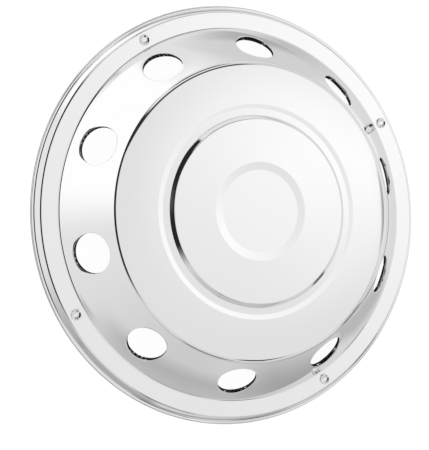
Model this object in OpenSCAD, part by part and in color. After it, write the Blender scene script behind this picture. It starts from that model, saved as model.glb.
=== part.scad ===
// Wheel simulator for a truck wheel: a deep-drawn dish of polished stainless sheet that
// covers the wheel, with hand holes in its wall and riveted spring clips behind its flange.
// It lies on the edge of its rim, with the wheel's axis along +Z and its face up.

/* [Sheet] */
// Thickness of the stainless sheet
sheet_t = 1; // [0.7:0.1:1.4]

/* [Rim and flange] */
// Outside diameter over the turned-down rim
rim_d = 583; // [565:1:600]
// Width of the flat lip inside the rim
lip_w = 3.5; // [3:0.1:6]
// Height of the lip's face above the edge of the rim
lip_h = 2.6; // [2.6:0.1:5]
// Width and height of the slanted step at the foot of the skirt
foot_cut = 1.2; // [0.8:0.1:1.6]
// Height of the skirt with both its slanted steps, from the lip up to the flange
skirt_h = 11.4; // [10.5:0.1:16]
// How far the skirt leans in between its slanted steps
skirt_lean = 4.8; // [3.5:0.1:6.5]
// Width and height of the slanted step at the edge of the flange
edge_cut = 1.5; // [1:0.1:2]
// Width of the flat flange that carries the clips
flange_w = 22.9; // [21:0.1:29]

/* [Wall] */
// Height of the wall above the flange
wall_h = 65.3; // [55:0.1:75]
// How far the wall runs in towards the axis
wall_run = 55.8; // [52:0.1:62]
// How far the wall is hollowed at its middle
wall_hollow = 2; // [1:0.1:3]

/* [Face] */
// Rise of the domed face from the shoulder to the pressed ring
dome_rise = 5; // [4:0.1:8]
// How far the domed face stands above a straight cone
dome_crown = 0.5; // [0.2:0.1:1]
// Width of the domed face, from the shoulder in to the pressed ring
face_w = 57; // [45:0.5:65]
// Width of the pressed ring's slope
ring_w = 6.6; // [5:0.1:9]
// Depth of the pressed ring
ring_depth = 0.7; // [0.4:0.1:1.2]
// Rise of the narrow land between the ring and the step
land_rise = 0.7; // [0.4:0.1:1.2]
// Width of the narrow land between the ring and the step
land_w = 9.2; // [6:0.1:12]
// Height of the step up to the boss
step_h = 5; // [4:0.1:8]
// How far the step leans in over its height
step_run = 5; // [4:0.1:7]
// Rise of the boss from its step to the middle dish
boss_rise = 1.9; // [1:0.1:3]
// Outside diameter of the shallow dish in the middle
dish_d = 132; // [110:0.5:150]
// Width of the dish's sloping edge
dish_edge = 10.5; // [8:0.1:14]
// Depth of the middle dish
dish_depth = 1.3; // [0.8:0.1:2.5]

/* [Bends] */
// Inside radius of the bend at the rim
edge_bend = 1; // [0.8:0.1:1.2]
// Inside radius of the small bends of the slanted steps
facet_bend = 0.5; // [0.3:0.1:0.8]
// Inside radius of the bend where the wall meets the flange
valley_bend = 3; // [1.5:0.1:3.5]
// Inside radius of the shoulder between the wall and the face
shoulder_bend = 9; // [5:0.5:10]
// Inside radius of the bends of the step
step_bend = 1.2; // [0.8:0.1:1.6]
// Inside radius of the soft bends of the ring and the dish
soft_bend = 6; // [3:0.5:8]

/* [Hand holes] */
// Number of hand holes round the wall
hole_count = 10; // [6:1:10]
// Clear diameter of a hand hole
hole_d = 54; // [44:0.5:58]
// How far a hole's middle lies down the wall from the wall's middle
hole_down = 1; // [0:0.5:4]
// Depth of the collar that is drawn inwards round a hole
collar_h = 5.5; // [4.5:0.1:8]

/* [Rivets] */
// Distance of a rivet from the flange's outer corner
rivet_in = 10.5; // [10:0.1:12]
// Turn of the first rivet from the first hand hole, in degrees
rivet_turn = 16; // [0:1:35]
// Diameter of a rivet's cupped head
rivet_head_d = 15; // [12:0.1:16]
// Height of a rivet's cupped head
rivet_head_h = 2.4; // [2.2:0.1:3]
// Radius of the round outer edge of the head
rivet_head_edge = 1.2; // [0.8:0.1:1.3]
// Width of the head's rim round its cup
cup_rim = 1.6; // [1.5:0.1:2]
// Depth of the cup in the head
cup_depth = 1.9; // [1:0.1:2.1]
// How far the cup's side leans in over its depth
cup_lean = 2.7; // [2:0.1:3]
// Radius of the cup's inner edge, at its rim
cup_edge = 0.6; // [0.3:0.1:0.7]
// Radius of the bend between the cup's side and its floor
cup_bend = 3; // [1:0.5:4]
// Diameter of a rivet's shank
rivet_d = 5; // [4:0.1:6]
// Gap all round the shank in the sheet and the clip
rivet_gap = 0.1; // [0.05:0.05:0.2]
// Diameter of a rivet's closed tail
tail_d = 8.4; // [7.4:0.1:9.4]
// Height of a rivet's closed tail
tail_h = 1.6; // [1:0.1:2.2]

/* [Spring clips] */
// Width of a clip's strip
clip_w = 20; // [14:0.5:26]
// Thickness of a clip's strip
clip_t = 0.9; // [0.6:0.1:1.1]
// Distance of a clip's heel from its rivet
clip_heel = 8; // [7.2:0.1:8.4]
// Distance of the end of a clip's foot from its rivet
clip_toe = 5; // [4.8:0.1:5.6]
// Height of a clip's tip above the edge of the rim
clip_gap = 2; // [1:0.1:3]
// How far a clip's nose bulges out towards the rim
clip_nose = 2.6; // [1.5:0.1:3]
// Inside radius of a clip's bends
clip_bend = 0.8; // [0.5:0.1:1]

/* [Hidden] */
$fn = 96;
// Sides of the revolved sheet, which is far larger than the fasteners
sheet_fn = 180;

// The cover has four clips, a quarter turn apart.
clip_count = 4;
// Largest turn and length of one chord in a bend's arc
bend_step = 10;
chord_step = 9;
// Share of a long stretch that its own arc takes up, the rest being left for its end bends
wall_share = 0.84;
dome_share = 0.72;
// Share of a clip's height at which its nose stands
nose_share = 0.42;
// Cutting tools run this far past the faces that they cut
past = 1;
// How far out from the wall the hand hole's punch reaches
punch = 20;

// Heights of the skin's outer face, from the rim's edge up
flange_z = lip_h + skirt_h;
shoulder_z = flange_z + wall_h;
ring_z = shoulder_z + dome_rise;
land_z = ring_z - ring_depth;
step_z = land_z + land_rise;
boss_z = step_z + step_h;
dish_z = boss_z + boss_rise;
middle_z = dish_z - dish_depth;

// Radii of the skin's outer face, from the rim inwards
rim_r = rim_d / 2;
skirt_r = rim_r - lip_w - foot_cut;
flange_r = skirt_r - skirt_lean - edge_cut;
valley_r = flange_r - flange_w;
shoulder_r = valley_r - wall_run;
ring_r = shoulder_r - face_w;
land_r = ring_r - ring_w;
step_r = land_r - land_w;
dish_r = dish_d / 2;

// The wall's foot and head, and the way up it and out of it
wall_foot = [valley_r, flange_z];
wall_head = [shoulder_r, shoulder_z];
wall_up = unit(wall_head - wall_foot);
wall_out = [wall_up.y, -wall_up.x];
wall_lean = atan2(wall_up.y, -wall_up.x);
dome_edge = [ring_r, ring_z];
dome_out = unit([ring_z - shoulder_z, shoulder_r - ring_r]);

// Corners of the skin's outer face from the axis to the rim's edge, each with the inside
// radius of its bend. The wall and the dome bend about the middle of their whole length.
wall_mid = (wall_foot + wall_head) / 2 - 2 * wall_hollow * wall_out;
dome_mid = (wall_head + dome_edge) / 2 + 2 * dome_crown * dome_out;
skin = [[0, middle_z],
        [dish_r - dish_edge, middle_z],
        [dish_r, dish_z],
        [step_r - step_run, boss_z],
        [step_r, step_z],
        [land_r, land_z],
        dome_edge,
        dome_mid,
        wall_head,
        wall_mid,
        wall_foot,
        [flange_r, flange_z],
        [flange_r + edge_cut, flange_z - edge_cut],
        [skirt_r, lip_h + foot_cut],
        [skirt_r + foot_cut, lip_h],
        [rim_r, lip_h],
        [rim_r, 0]];
skin_bends = [0, soft_bend, soft_bend, step_bend, step_bend, soft_bend, soft_bend,
              long_bend(dome_edge, dome_mid, wall_head, dome_share), shoulder_bend,
              long_bend(wall_head, wall_mid, wall_foot, wall_share), valley_bend,
              facet_bend, facet_bend, facet_bend, facet_bend, edge_bend, 0];

// Middle of a hand hole on the outer face, and the way out through it
hole_mid = (wall_foot + wall_head) / 2 - wall_hollow * wall_out - hole_down * wall_up;

// Where a rivet stands and where its clip lies
rivet_r = flange_r - rivet_in;
foot_z = flange_z - sheet_t;
tail_z = foot_z - clip_t;
nose_z = clip_gap + (foot_z - clip_gap) * nose_share;
clip_path = [[rivet_r - clip_heel, clip_gap],
             [rivet_r - clip_heel + clip_nose, nose_z],
             [rivet_r - clip_heel, foot_z],
             [rivet_r + clip_toe, foot_z]];
clip_bends = [0, clip_bend, clip_bend, 0];

function unit(v) = v / norm(v);

// The side of a stretch on which the sheet's thickness lies, seen from a to b
function inside(a, b) = let (d = unit(b - a)) [d.y, -d.x];

// Half the angle between the two stretches that meet at b
function half_angle(a, b, c) = acos(unit(a - b) * unit(c - b)) / 2;

// The radius of one arc that takes up a share of both stretches beside b
function long_bend(a, b, c, share) =
    share * min(norm(a - b), norm(c - b)) * tan(half_angle(a, b, c));

// Positive where the path turns away from the sheet's inside
function turn(a, b, c) = sign((b - a).y * (c - b).x - (b - a).x * (c - b).y);

// A path moved inwards by depth, with its corners mitred
function moved(path, depth) = [
    for (i = [0 : len(path) - 1])
        let (a = inside(path[max(i - 1, 0)], path[max(i, 1)]),
             b = inside(path[min(i, len(path) - 2)], path[min(i + 1, len(path) - 1)]))
        path[i] + depth * (a + b) / (1 + a * b)
];

// The arc that rounds the corner b to radius r
function arc(a, b, c, r) =
    let (half = half_angle(a, b, c),
         along = unit(a - b),
         middle = b + unit(along + unit(c - b)) * r / sin(half),
         start = b + along * r / tan(half) - middle,
         sweep = (180 - 2 * half) * sign(cross(b - a, c - b)),
         first = atan2(start.y, start.x),
         steps = max(2, ceil(abs(sweep) / bend_step), ceil(r * abs(sweep) * PI / 180 / chord_step)))
    [for (k = [0 : steps]) middle + r * [cos(first + sweep * k / steps), sin(first + sweep * k / steps)]];

// One face of a bent sheet: its path at a depth below the outer face, with every bend round
function face(path, bends, t, depth) =
    let (p = moved(path, depth), last = len(path) - 1)
    concat([p[0]],
           [for (i = [1 : last - 1])
               let (side = turn(path[i - 1], path[i], path[i + 1]))
               each arc(p[i - 1], p[i], p[i + 1], bends[i] + (side > 0 ? t - depth : depth))],
           [p[last]]);

function reversed(list) = [for (i = [len(list) - 1 : -1 : 0]) list[i]];

// The section of a bent sheet of thickness t
module section(path, bends, t) {
    polygon(concat(face(path, bends, t, 0), reversed(face(path, bends, t, t))));
}

// Places its children at each hand hole, with +Z out through the wall
module at_holes() {
    for (i = [0 : hole_count - 1])
        rotate([0, 0, i * 360 / hole_count])
            translate([hole_mid.x, 0, hole_mid.y])
                rotate([0, wall_lean, 0])
                    children();
}

// Places its children at one rivet's turn round the axis
module at_rivet(i) {
    rotate([0, 0, rivet_turn + i * 360 / clip_count])
        children();
}

// The collars that are drawn inwards round the hand holes, ending within the sheet
module collars() {
    intersection() {
        rotate_extrude($fn = sheet_fn)
            polygon(concat(face(skin, skin_bends, sheet_t, sheet_t / 2), [[0, 0]]));
        at_holes()
            translate([0, 0, -collar_h])
                cylinder(h = punch, r = hole_d / 2 + sheet_t);
    }
}

// The pressed sheet: one revolved section, drawn in at the hand holes and drilled for rivets
module cover_shell() {
    color("gainsboro")
        difference() {
            union() {
                rotate_extrude($fn = sheet_fn)
                    section(skin, skin_bends, sheet_t);
                collars();
            }
            at_holes()
                translate([0, 0, -punch])
                    cylinder(h = 2 * punch, d = hole_d);
            for (i = [0 : clip_count - 1])
                at_rivet(i)
                    translate([rivet_r, 0, foot_z - past])
                        cylinder(h = sheet_t + 2 * past, d = rivet_d + 2 * rivet_gap);
        }
}

// A spring clip: a bent strip riveted under the flange, whose nose grips the wheel's rim
module clip(i) {
    color("lightslategray")
        at_rivet(i)
            difference() {
                rotate([90, 0, 0])
                    linear_extrude(height = clip_w, center = true)
                        section(clip_path, clip_bends, clip_t);
                translate([rivet_r, 0, tail_z - past])
                    cylinder(h = clip_t + 2 * past, d = rivet_d + 2 * rivet_gap);
            }
}

// A rivet: a cupped head on the flange, a shank through sheet and clip, and a closed tail
module rivet(i) {
    head_r = rivet_head_d / 2;
    head_z = flange_z + rivet_head_h;
    cup_r = head_r - cup_rim;
    cup_middle = [0, head_z - cup_depth];
    cup_foot = [cup_r - cup_lean, head_z - cup_depth];
    cup_top = [cup_r, head_z];
    head_corner = [head_r, head_z];
    head_foot = [head_r, flange_z];
    color("silver")
        at_rivet(i)
            translate([rivet_r, 0, 0])
                rotate_extrude()
                    polygon(concat([cup_middle],
                                   arc(cup_middle, cup_foot, cup_top, cup_bend),
                                   arc(cup_foot, cup_top, head_corner, cup_edge),
                                   arc(cup_top, head_corner, head_foot, rivet_head_edge),
                                   [head_foot,
                                    [rivet_d / 2, flange_z],
                                    [rivet_d / 2, tail_z],
                                    [tail_d / 2, tail_z],
                                    [tail_d / 2, tail_z - tail_h],
                                    [0, tail_z - tail_h]]));
}

cover_shell();
for (i = [0 : clip_count - 1]) {
    clip(i);
    rivet(i);
}
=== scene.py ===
from math import atan2, cos, hypot, pi, radians, sin, tan

import bmesh
import bpy
from mathutils import Matrix, Quaternion, Vector


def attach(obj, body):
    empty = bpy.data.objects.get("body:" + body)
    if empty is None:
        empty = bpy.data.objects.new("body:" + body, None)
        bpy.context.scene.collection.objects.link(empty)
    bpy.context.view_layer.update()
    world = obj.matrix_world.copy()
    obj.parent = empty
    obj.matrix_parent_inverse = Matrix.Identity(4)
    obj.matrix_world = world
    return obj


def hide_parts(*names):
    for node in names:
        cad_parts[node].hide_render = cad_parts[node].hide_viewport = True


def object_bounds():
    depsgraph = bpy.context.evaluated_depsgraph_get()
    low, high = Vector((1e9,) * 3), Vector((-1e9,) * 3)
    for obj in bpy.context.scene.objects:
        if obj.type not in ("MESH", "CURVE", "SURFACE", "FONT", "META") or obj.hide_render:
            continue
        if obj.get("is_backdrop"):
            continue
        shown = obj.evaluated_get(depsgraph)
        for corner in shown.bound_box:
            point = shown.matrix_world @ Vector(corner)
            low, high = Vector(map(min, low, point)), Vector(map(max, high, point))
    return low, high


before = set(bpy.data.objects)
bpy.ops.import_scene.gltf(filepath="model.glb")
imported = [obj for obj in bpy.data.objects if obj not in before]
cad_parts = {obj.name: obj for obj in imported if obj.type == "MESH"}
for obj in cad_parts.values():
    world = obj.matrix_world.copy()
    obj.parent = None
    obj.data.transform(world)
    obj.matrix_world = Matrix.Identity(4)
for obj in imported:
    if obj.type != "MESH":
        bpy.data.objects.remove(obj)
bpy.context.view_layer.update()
mm = 0.001

# The cover is one disc of stainless sheet, deep-drawn over a die and then polished to a mirror.
# Its rim is turned down, its wall is drawn in at ten hand holes, and its face carries a raised
# boss with a shallow dish. Every level of the press tool shows as a bend of its own radius.
sheet = 1 * mm
rim_r, lip_r, flange_r, valley_r = 291.5 * mm, 288 * mm, 280.5 * mm, 257.6 * mm
foot_cut, edge_cut, cut_slope = 1.3 * mm, 1.9 * mm, tan(radians(40))
shoulder_r, ring_r, land_r, step_r = 201.8 * mm, 144.8 * mm, 138.2 * mm, 129 * mm
boss_r, dish_r, dish_floor_r = 124 * mm, 66 * mm, 55.5 * mm
lip_z, flange_z, shoulder_z, ring_z = 2.6 * mm, 14 * mm, 79.3 * mm, 84.3 * mm
land_z, boss_z, dish_z, middle_z = 83.6 * mm, 89.3 * mm, 91.2 * mm, 89.9 * mm
wall_hollow, dome_crown = 2 * mm, 0.5 * mm
wall_share, dome_share = 0.84, 0.72
turn_steps, wall_rows = 240, 16
row_margin, row_spacing = 0.6 * mm, 9 * mm
hand_holes, hand_hole_r, hand_hole_down = 10, 27 * mm, 1 * mm
hole_rings, hole_half_turn = 6, radians(9)
collar_depth, collar_edge = 5.5 * mm, 0.5 * mm
mill_and_shade_skin, collar_skin = 1, 2
same_place, sharp_from = 0.01 * mm, radians(40)


def across(radius, height):
    """A point of the section, on the +X side."""
    return Vector((radius, 0, height))


def bend(before, corner, after, radius, steps):
    """The arc that rounds a corner of the section."""
    back, on = (before - corner).normalized(), (after - corner).normalized()
    reach = radius / tan(back.angle(on) / 2)
    middle = corner + (back + on).normalized() * hypot(radius, reach)
    start, end = corner + back * reach - middle, corner + on * reach - middle
    sweep = start.rotation_difference(end)
    return [middle + Quaternion(sweep.axis, sweep.angle * k / steps) @ start for k in range(steps + 1)]


def long_bend(before, corner, after, share):
    """The radius of one arc that takes up a share of both stretches beside the corner."""
    half = (before - corner).angle(after - corner) / 2
    return share * min((before - corner).length, (after - corner).length) * tan(half)


def straight(start, end, margin, spacing):
    """The rows between two bends."""
    run = end - start
    if run.length < 3 * margin:
        return []
    first, last = start + run.normalized() * margin, end - run.normalized() * margin
    count = max(1, round((last - first).length / spacing))
    return [first.lerp(last, k / count) for k in range(count + 1)]


def outline(corners, bends, margin, spacing):
    """The section through its corners, with rows close beside each bend to hold it crisp."""
    points = [corners[0]]
    for (before, corner, after), (radius, steps) in zip(zip(corners, corners[1:], corners[2:]), bends):
        arc = bend(before, corner, after, radius, steps)
        points += straight(points[-1], arc[0], margin, spacing) + arc
    return points + straight(points[-1], corners[-1], margin, spacing) + [corners[-1]]


wall_foot, wall_head = across(valley_r, flange_z), across(shoulder_r, shoulder_z)
wall_up = (wall_head - wall_foot).normalized()
wall_out = Vector((0, 1, 0)).cross(wall_up)
wall_mid = (wall_foot + wall_head) / 2 - 2 * wall_hollow * wall_out
dome_edge = across(ring_r, ring_z)
dome_run = (wall_head - dome_edge).normalized()
dome_mid = (wall_head + dome_edge) / 2 + 2 * dome_crown * across(-dome_run.z, dome_run.x)
wall_bend = long_bend(wall_head, wall_mid, wall_foot, wall_share)
dome_bend = long_bend(dome_edge, dome_mid, wall_head, dome_share)

# The drawn section's corners from the middle out to the rim, and each bend's radius and steps.
section = [
    across(0, middle_z), across(dish_floor_r, middle_z), across(dish_r, dish_z),
    across(boss_r, boss_z), across(step_r, ring_z), across(land_r, land_z), dome_edge, dome_mid,
    wall_head, wall_mid, wall_foot,
    across(flange_r, flange_z), across(flange_r + edge_cut, flange_z - edge_cut * cut_slope),
    across(lip_r - foot_cut, lip_z + foot_cut * cut_slope), across(lip_r, lip_z),
    across(rim_r, lip_z), across(rim_r, 0),
]
section_bends = [
    (6 * mm, 3), (7 * mm, 3), (2.2 * mm, 5), (1.2 * mm, 5), (6 * mm, 3), (7 * mm, 3),
    (dome_bend, 6), (10 * mm, 9), (wall_bend, wall_rows), (4 * mm, 7),
    (1.5 * mm, 4), (1.5 * mm, 3), (0.5 * mm, 3), (0.5 * mm, 4), (2.3 * mm, 6),
]

shell = bmesh.new()
section_verts = [shell.verts.new(p) for p in outline(section, section_bends, row_margin, row_spacing)]
section_edges = [shell.edges.new(pair) for pair in zip(section_verts, section_verts[1:])]
bmesh.ops.spin(
    shell, geom=section_verts + section_edges, cent=(0, 0, 0), axis=(0, 0, 1), angle=2 * pi,
    steps=turn_steps, use_merge=True, use_duplicate=False,
)
bmesh.ops.remove_doubles(shell, verts=shell.verts, dist=same_place)
bmesh.ops.recalc_face_normals(shell, faces=shell.faces)

wall_arc = bend(wall_head, wall_mid, wall_foot, wall_bend, 2)
wall_middle = (wall_foot + wall_head) / 2 - wall_hollow * wall_out - hand_hole_down * wall_up
wall_centre = wall_arc[1] + wall_out * wall_bend
patch_low, patch_high = wall_arc[2].z, wall_arc[0].z
patch_sides = 2 * wall_rows + 2 * round(2 * hole_half_turn / (2 * pi) * turn_steps)


def onto_wall(point):
    """The nearest point of the hollow wall."""
    turn = atan2(point.y, point.x)
    spoke = across(hypot(point.x, point.y), point.z) - wall_centre
    return Matrix.Rotation(turn, 3, "Z") @ (wall_centre + spoke.normalized() * wall_bend)


def in_patch(point, turn):
    """True on the piece of wall that a hand hole is cut from."""
    away = turn.inverted() @ point
    return patch_low < point.z < patch_high and abs(atan2(away.y, away.x)) < hole_half_turn


def open_patch(bm, gone, place, radius, sides):
    """Takes out a patch of faces, and joins a round hole to the edge of the gap."""
    edges = dict.fromkeys(e for f in gone for e in f.edges)
    around = [e for e in edges if sum(f in gone for f in e.link_faces) == 1]
    bmesh.ops.delete(bm, geom=gone, context="FACES")
    circle = bmesh.ops.create_circle(bm, segments=sides, radius=radius, matrix=place)["verts"]
    loop = list(dict.fromkeys(e for v in circle for e in v.link_edges))
    joined = bmesh.ops.bridge_loops(bm, edges=around + loop)
    spokes = [e for e in joined["edges"] if not (e in around or e in loop)]
    return loop, spokes


# Each hand hole is cut round from a patch of the wall, then its edge is drawn in as a collar.
wall_facing = wall_out.to_track_quat("Z", "Y").to_matrix().to_4x4()
for i in range(hand_holes):
    turn = Matrix.Rotation(2 * pi * i / hand_holes, 4, "Z")
    place = turn @ Matrix.Translation(wall_middle) @ wall_facing
    patch = [f for f in shell.faces if in_patch(f.calc_center_median(), turn)]
    loop, spokes = open_patch(shell, patch, place, hand_hole_r, patch_sides)
    fresh = bmesh.ops.subdivide_edges(shell, edges=spokes, cuts=hole_rings, use_grid_fill=True)
    rings = [v for v in fresh["geom_inner"] if isinstance(v, bmesh.types.BMVert)]
    for v in rings:
        v.co = onto_wall(v.co)
    flat = place.inverted()
    for v in {v for e in loop for v in e.verts}:
        for _ in range(4):
            near = flat @ onto_wall(v.co)
            near.xy = near.xy.normalized() * hand_hole_r
            v.co = place @ near
    collar = bmesh.ops.extrude_edge_only(shell, edges=loop)["geom"]
    for v in collar:
        if isinstance(v, bmesh.types.BMVert):
            foot = flat @ v.co
            foot.z = -collar_depth
            v.co = place @ foot
            for f in v.link_faces:
                f.material_index = collar_skin
    bmesh.ops.bevel(
        shell, geom=loop, offset=collar_edge, segments=3, profile=0.5, affect="EDGES", material=-1,
    )

bmesh.ops.recalc_face_normals(shell, faces=shell.faces)
outer_skin = set(shell.faces)
bmesh.ops.solidify(shell, geom=shell.faces[:], thickness=sheet)
for f in shell.faces:
    f.smooth = True
    if f not in outer_skin:
        # The back faces take the rolled finish, with its darker tone of painted shade.
        f.material_index = mill_and_shade_skin
cover_mesh = bpy.data.meshes.new("cover_shell_sheet")
shell.to_mesh(cover_mesh)
shell.free()
cover_mesh.set_sharp_from_angle(angle=sharp_from)
cover = bpy.data.objects.new("cover_shell_sheet", cover_mesh)
bpy.context.scene.collection.objects.link(cover)
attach(cover, "root")
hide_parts("cover_shell")

gloss_patches, gloss_detail, wave_detail = 14, 4, 2


def steel(name, colour, roughness, spread, wave_size, wave_height):
    """Steel whose gloss and flatness drift a little from place to place."""
    material = bpy.data.materials.new(name)
    material.use_nodes = True
    nodes, links = material.node_tree.nodes, material.node_tree.links
    shader = nodes["Principled BSDF"]
    shader.inputs["Base Color"].default_value = (*colour, 1)
    shader.inputs["Metallic"].default_value = 1
    where = nodes.new("ShaderNodeTexCoord")
    drift = nodes.new("ShaderNodeTexNoise")
    drift.inputs["Scale"].default_value = gloss_patches
    drift.inputs["Detail"].default_value = gloss_detail
    gloss = nodes.new("ShaderNodeMapRange")
    gloss.inputs["To Min"].default_value = roughness - spread
    gloss.inputs["To Max"].default_value = roughness + spread
    links.new(where.outputs["Object"], drift.inputs["Vector"])
    links.new(drift.outputs["Fac"], gloss.inputs["Value"])
    links.new(gloss.outputs["Result"], shader.inputs["Roughness"])
    wave = nodes.new("ShaderNodeTexNoise")
    wave.inputs["Scale"].default_value = 1 / wave_size
    wave.inputs["Detail"].default_value = wave_detail
    bump = nodes.new("ShaderNodeBump")
    bump.inputs["Distance"].default_value = wave_height
    links.new(where.outputs["Object"], wave.inputs["Vector"])
    links.new(wave.outputs["Fac"], bump.inputs["Height"])
    links.new(bump.outputs["Normal"], shader.inputs["Normal"])
    return material


# The front is buffed bright, the back stays as it was rolled, and the collars as they were drawn.
# The back is also given a much darker tone than the front, as painted shade for the hollow inside.
for finish in (
    ("polished_stainless", (0.9, 0.9, 0.9), 0.025, 0.01, 60 * mm, 0.02 * mm),
    # The back: rougher as rolled, and darker in colour as painted shade for the inside of the cover.
    ("mill_stainless_painted_shade", (0.45, 0.45, 0.44), 0.32, 0.06, 8 * mm, 0.02 * mm),
    ("drawn_stainless", (0.72, 0.72, 0.72), 0.13, 0.03, 20 * mm, 0.02 * mm),
):
    cover_mesh.materials.append(steel(*finish))

# Four clips of bent spring steel hang under the flange, one behind each rivet. Each is a strip
# folded to a springy nose that snaps over the wheel's rim, with its cut edges left a little soft.
clip_count, clip_turn, rivet_in = 4, radians(16), 10.5 * mm
clip_thick, clip_wide, clip_round, clip_edge = 0.9 * mm, 20 * mm, 0.8 * mm, 0.15 * mm
clip_heel, clip_toe, clip_nose, clip_low = 8 * mm, 5 * mm, 2.6 * mm, 2 * mm
nose_share, clip_margin, clip_spacing = 0.42, 0.3 * mm, 2 * mm
rivet_r = flange_r - rivet_in
under_z = flange_z - sheet
heel_r, nose_z = rivet_r - clip_heel, clip_low + (under_z - clip_low) * nose_share
clip_path = [
    across(heel_r, clip_low), across(heel_r + clip_nose, nose_z), across(heel_r, under_z),
    across(rivet_r + clip_toe, under_z),
]
clip_bends = [(clip_round, 5), (clip_round, 5)]
spring_steel = steel("spring_steel_brushed", (0.62, 0.62, 0.64), 0.3, 0.07, 3 * mm, 0.03 * mm)


def turned_piece(i, bm, name, material, slot):
    """Turns a made piece to its place round the axis, attaches it to the root body and hides the node
    it stands for.
    """
    turn = Matrix.Rotation(clip_turn + 2 * pi * i / clip_count, 4, "Z")
    bmesh.ops.transform(bm, verts=bm.verts, matrix=turn)
    for f in bm.faces:
        f.smooth = True
    mesh = bpy.data.meshes.new(f"{name}_{i + 1}_{slot}")
    bm.to_mesh(mesh)
    bm.free()
    mesh.set_sharp_from_angle(angle=sharp_from)
    mesh.materials.append(material)
    piece = bpy.data.objects.new(mesh.name, mesh)
    bpy.context.scene.collection.objects.link(piece)
    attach(piece, "root")
    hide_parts(f"{name}_{i + 1}")


for i in range(clip_count):
    strip = bmesh.new()
    verts = [strip.verts.new(p) for p in outline(clip_path, clip_bends, clip_margin, clip_spacing)]
    edges = [strip.edges.new(pair) for pair in zip(verts, verts[1:])]
    bmesh.ops.translate(strip, verts=verts, vec=(0, -clip_wide / 2, 0))
    wide = bmesh.ops.extrude_edge_only(strip, edges=edges)["geom"]
    far_side = [v for v in wide if isinstance(v, bmesh.types.BMVert)]
    bmesh.ops.translate(strip, verts=far_side, vec=(0, clip_wide, 0))
    strip.normal_update()
    strip.faces.ensure_lookup_table()
    if strip.faces[0].normal.x > 0:
        bmesh.ops.reverse_faces(strip, faces=strip.faces)
    bmesh.ops.solidify(strip, geom=strip.faces[:], thickness=clip_thick)
    bmesh.ops.recalc_face_normals(strip, faces=strip.faces)
    cut_edges = [e for e in strip.edges if e.calc_face_angle(0) > radians(60)]
    bmesh.ops.bevel(
        strip, geom=cut_edges, offset=clip_edge, segments=2, profile=0.5, affect="EDGES", material=-1,
    )
    turned_piece(i, strip, "clip", spring_steel, "spring_steel")

# Each clip is held by a bright steel rivet. Its head is a low button with a cupped top, and its
# shank goes through sheet and clip to a tail that is closed up behind the clip.
head_r, head_h, head_round, rim_round = 7.5 * mm, 2.4 * mm, 1.2 * mm, 0.6 * mm
cup_r, cup_floor_r, cup_floor_h, cup_round = 5.9 * mm, 3.4 * mm, 0.4 * mm, 3 * mm
shank_r, tail_r, tail_h, tail_round = 2.5 * mm, 4.2 * mm, 1.6 * mm, 0.6 * mm
rivet_steps, tail_z = 48, under_z - clip_thick
head_top = flange_z + head_h
cup_middle = across(0, flange_z + cup_floor_h)
cup_corner, cup_rim = across(cup_floor_r, flange_z + cup_floor_h), across(cup_r, head_top)
head_corner, head_foot = across(head_r, head_top), across(head_r, flange_z)
tail_corner, tail_end = across(tail_r, tail_z - tail_h), across(0, tail_z - tail_h)
rivet_outline = (
    [cup_middle]
    + bend(cup_middle, cup_corner, cup_rim, cup_round, 6)
    + bend(cup_corner, cup_rim, head_corner, rim_round, 5)
    + bend(cup_rim, head_corner, head_foot, head_round, 7)
    + [head_foot, across(shank_r, flange_z), across(shank_r, tail_z), across(tail_r, tail_z)]
    + bend(across(tail_r, tail_z), tail_corner, tail_end, tail_round, 4)
    + [tail_end]
)
rivet_steel = steel("rivet_bright_steel", (0.86, 0.86, 0.87), 0.05, 0.02, 6 * mm, 0.01 * mm)
for i in range(clip_count):
    body = bmesh.new()
    verts = [body.verts.new(p) for p in rivet_outline]
    edges = [body.edges.new(pair) for pair in zip(verts, verts[1:])]
    bmesh.ops.spin(
        body, geom=verts + edges, cent=(0, 0, 0), axis=(0, 0, 1), angle=2 * pi, steps=rivet_steps,
        use_merge=True, use_duplicate=False,
    )
    bmesh.ops.remove_doubles(body, verts=body.verts, dist=same_place)
    bmesh.ops.recalc_face_normals(body, faces=body.faces)
    bmesh.ops.translate(body, verts=body.verts, vec=(rivet_r, 0, 0))
    turned_piece(i, body, "rivet", rivet_steel, "rivet_steel")

# The floor is a sheet of white paper, white to the camera but for a faint shadow. In the steel's
# reflections the paper under the cover is painted shade, a faint fixed glow standing in for the
# little light that gets in there, and past the rim the steel sees the tent instead.
floor_r, floor_sides, painted_shade_edge = 6, 96, 5 * mm
paper_tone, paper_glow, glow_share, painted_shade_glow = 0.85, 1.08, 0.9, 0.015
paper = bpy.data.materials.new("white_paper")
paper.use_nodes = True
nodes, links = paper.node_tree.nodes, paper.node_tree.links
card = nodes["Principled BSDF"]
card.inputs["Base Color"].default_value = (paper_tone, paper_tone, paper_tone, 1)
card.inputs["Roughness"].default_value = 0.9
path = nodes.new("ShaderNodeLightPath")
glow = nodes.new("ShaderNodeEmission")
glow.inputs["Strength"].default_value = paper_glow
for_camera = nodes.new("ShaderNodeMath")
for_camera.operation = "MULTIPLY"
for_camera.inputs[1].default_value = glow_share
links.new(path.outputs["Is Camera Ray"], for_camera.inputs[0])
seen = nodes.new("ShaderNodeMixShader")
links.new(for_camera.outputs[0], seen.inputs["Fac"])
links.new(card.outputs[0], seen.inputs[1])
links.new(glow.outputs[0], seen.inputs[2])
spot = nodes.new("ShaderNodeTexCoord")
reach = nodes.new("ShaderNodeVectorMath")
reach.operation = "LENGTH"
links.new(spot.outputs["Object"], reach.inputs[0])
outside = nodes.new("ShaderNodeMapRange")
outside.inputs["From Min"].default_value = rim_r
outside.inputs["From Max"].default_value = rim_r + painted_shade_edge
links.new(reach.outputs["Value"], outside.inputs["Value"])
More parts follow.
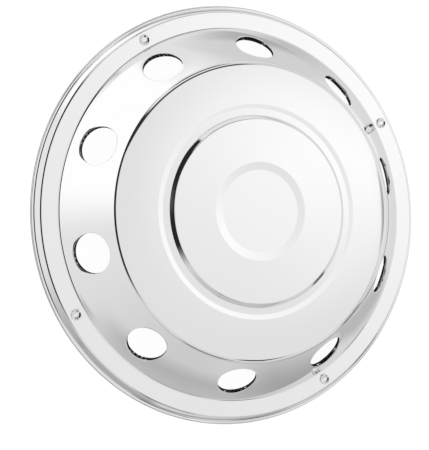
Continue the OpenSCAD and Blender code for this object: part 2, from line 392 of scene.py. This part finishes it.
# Painted shade: under the cover the steel's reflections see this faint fixed glow, not the lit paper.
painted_shade = nodes.new("ShaderNodeEmission")
painted_shade.inputs["Strength"].default_value = painted_shade_glow
open_air = nodes.new("ShaderNodeBsdfTransparent")
mirrored = nodes.new("ShaderNodeMixShader")
links.new(outside.outputs[0], mirrored.inputs["Fac"])
links.new(painted_shade.outputs[0], mirrored.inputs[1])
links.new(open_air.outputs[0], mirrored.inputs[2])
laid = nodes.new("ShaderNodeMixShader")
links.new(path.outputs["Is Glossy Ray"], laid.inputs["Fac"])
links.new(seen.outputs[0], laid.inputs[1])
links.new(mirrored.outputs[0], laid.inputs[2])
links.new(laid.outputs[0], nodes["Material Output"].inputs["Surface"])

floor_shape = bmesh.new()
bmesh.ops.create_circle(floor_shape, cap_ends=True, segments=floor_sides, radius=floor_r)
floor_mesh = bpy.data.meshes.new("floor")
floor_shape.to_mesh(floor_mesh)
floor_shape.free()
floor_mesh.materials.append(paper)
floor = bpy.data.objects.new("floor", floor_mesh)
bpy.context.scene.collection.objects.link(floor)
floor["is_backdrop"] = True

# The light is a white tent with soft cards of different tones hung round the cover, and dark gaps
# at its left side. Polished steel shows little else, so the cards are what draws its shape.
world = bpy.data.worlds.new("studio")
bpy.context.scene.world = world
world.use_nodes = True
nodes, links = world.node_tree.nodes, world.node_tree.links
camera_turn, side_zero, front_zero, tent_tone = 14.07, 150, 71.6, 0.835


def maths(operation, a, b=0.0):
    """One sum of two numbers or sockets."""
    node = nodes.new("ShaderNodeMath")
    node.operation = operation
    for socket, value in zip(node.inputs, (a, b)):
        if isinstance(value, (int, float)):
            socket.default_value = value
        else:
            links.new(value, socket)
    return node.outputs[0]


def between(value, first, last, first_edge, last_edge):
    """1 between two angles and 0 outside them, with an edge of its own width at each."""
    found = []
    for angle, edge in ((first, -first_edge / 2), (last, last_edge / 2)):
        fade = nodes.new("ShaderNodeMapRange")
        fade.interpolation_type = "SMOOTHSTEP"
        fade.inputs["From Min"].default_value = radians(angle + edge)
        fade.inputs["From Max"].default_value = radians(angle - edge)
        links.new(value, fade.inputs["Value"])
        found.append(fade.outputs["Result"])
    return maths("MULTIPLY", *found)


# Three angles name a way to look: sideways, round the picture's upright axis, rise, from its
# middle line to its top, and forward, from its side edges to the camera.
turned = nodes.new("ShaderNodeVectorRotate")
turned.rotation_type = "Z_AXIS"
turned.inputs["Angle"].default_value = radians(camera_turn)
links.new(nodes.new("ShaderNodeTexCoord").outputs["Generated"], turned.inputs["Vector"])
tipped = nodes.new("ShaderNodeVectorRotate")
tipped.rotation_type = "Y_AXIS"
tipped.inputs["Angle"].default_value = -radians(side_zero)
links.new(turned.outputs["Vector"], tipped.inputs["Vector"])
parts = nodes.new("ShaderNodeSeparateXYZ")
links.new(tipped.outputs["Vector"], parts.inputs[0])
sideways = maths("ARCTAN2", parts.outputs["X"], parts.outputs["Z"])
rise = maths("ARCSINE", parts.outputs["Y"])
front = nodes.new("ShaderNodeVectorRotate")
front.rotation_type = "Y_AXIS"
front.inputs["Angle"].default_value = radians(front_zero)
links.new(turned.outputs["Vector"], front.inputs["Vector"])
front_parts = nodes.new("ShaderNodeSeparateXYZ")
links.new(front.outputs["Vector"], front_parts.inputs[0])
forward = maths("ARCSINE", front_parts.outputs["X"])

# Each card: way round, left and right edge, their softness, lower and upper edge, their
# softness, all in degrees, and its tone. A later card stands in front of an earlier one.
cards = [
    (sideways, -500, 500, 1, 1, -100, -52, 1, 88, 0.64),
    (sideways, 22, 140.4, 50, 1.5, 2, 76, 26, 11, 1.10),
    (sideways, -130, -103, 29, 11, -1, 21, 22, 32, 1.10),
    (sideways, -60, -22, 40, 50, -61, -14, 24, 28, 0.38),
    (sideways, -46, -6, 7, 19, 5, 82, 40, 36, 0.69),
    (sideways, -42, -30, 3, 7, 25, 71, 11, 28, 0.46),
    (sideways, -124, -79, 15, 8, 35, 56, 27, 20, 0.62),
    (forward, -2, 5, 8, 26, -100, -50, 1, 28, 0.42),
    (sideways, -102, -86, 6, 10, -24, -8, 8, 8, 0.57),
    (sideways, 30, 110, 10, 4, -10, 40, 20, 10, 0.87),
    (sideways, 30, 100, 10, 6, -68, -30, 8, 30, 0.45),
    (sideways, 141.6, 173, 1.5, 10, -37, 52, 24, 6, 0.02),
    (sideways, 141.6, 152, 1.5, 2, 48, 66, 4, 4, 0.02),
    (sideways, 160, 190, 12, 1, 26, 47, 4, 6, 0.03),
    (sideways, -190, -121, 1, 8, 26, 43, 4, 4, 0.04),
    (sideways, -190, -112, 1, 5, 61, 76, 4, 4, 0.05),
    (sideways, -190, -108, 1, 5, -77, -63, 4, 4, 0.15),
    (sideways, -124, -108, 5, 5, -46, -30, 5, 5, 0.05),
    (sideways, -78, -46, 6, 8, -29, -21, 3, 3, 0.15),
    (sideways, -105.2, -102.8, 1, 1, -15, 9, 4, 4, 0.4),
    (sideways, 28, 84, 6, 6, -45, 38, 8, 8, 0.05),
]
tone = None
for way, left, right, left_edge, right_edge, low, high, low_edge, high_edge, level in cards:
    share = maths(
        "MULTIPLY",
        between(way, left, right, left_edge, right_edge),
        between(rise, low, high, low_edge, high_edge),
    )
    blend = nodes.new("ShaderNodeMix")
    links.new(share, blend.inputs["Factor"])
    blend.inputs["A"].default_value = tent_tone
    blend.inputs["B"].default_value = level
    if tone:
        links.new(tone, blend.inputs["A"])
    tone = blend.outputs["Result"]

tent = nodes["Background"]
tent.inputs["Color"].default_value = (1, 1, 1, 1)
links.new(tone, tent.inputs["Strength"])
backdrop = nodes.new("ShaderNodeBackground")
backdrop.inputs["Color"].default_value = (1, 1, 1, 1)
backdrop.inputs["Strength"].default_value = 1
path = nodes.new("ShaderNodeLightPath")
shown = nodes.new("ShaderNodeMixShader")
links.new(path.outputs["Is Camera Ray"], shown.inputs["Fac"])
links.new(tent.outputs[0], shown.inputs[1])
links.new(backdrop.outputs[0], shown.inputs[2])
links.new(shown.outputs[0], nodes["World Output"].inputs["Surface"])

# The camera looks down on the lying cover at the photo's angle, through a long lens. It has the
# cover a little to the right of the picture's middle and above it.
lean, lean_way, lens_length = radians(24.11), radians(5.15), 106.7
camera_right, camera_up, camera_away = -30.9 * mm, -15.7 * mm, 1850 * mm
tilt = Matrix.Rotation(lean, 4, Vector((-sin(lean_way), cos(lean_way), 0)))
roll = Matrix.Rotation(radians(camera_turn), 4, "Z")
lens = bpy.data.cameras.new("camera")
lens.lens = lens_length
camera = bpy.data.objects.new("camera", lens)
camera.matrix_world = (
    Matrix.Translation((0, 0, flange_z))
    @ (tilt @ roll).inverted()
    @ Matrix.Translation((camera_right, camera_up, camera_away))
)
bpy.context.scene.collection.objects.link(camera)
bpy.context.scene.camera = camera
bpy.context.scene.view_settings.view_transform = "Standard"

low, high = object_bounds()
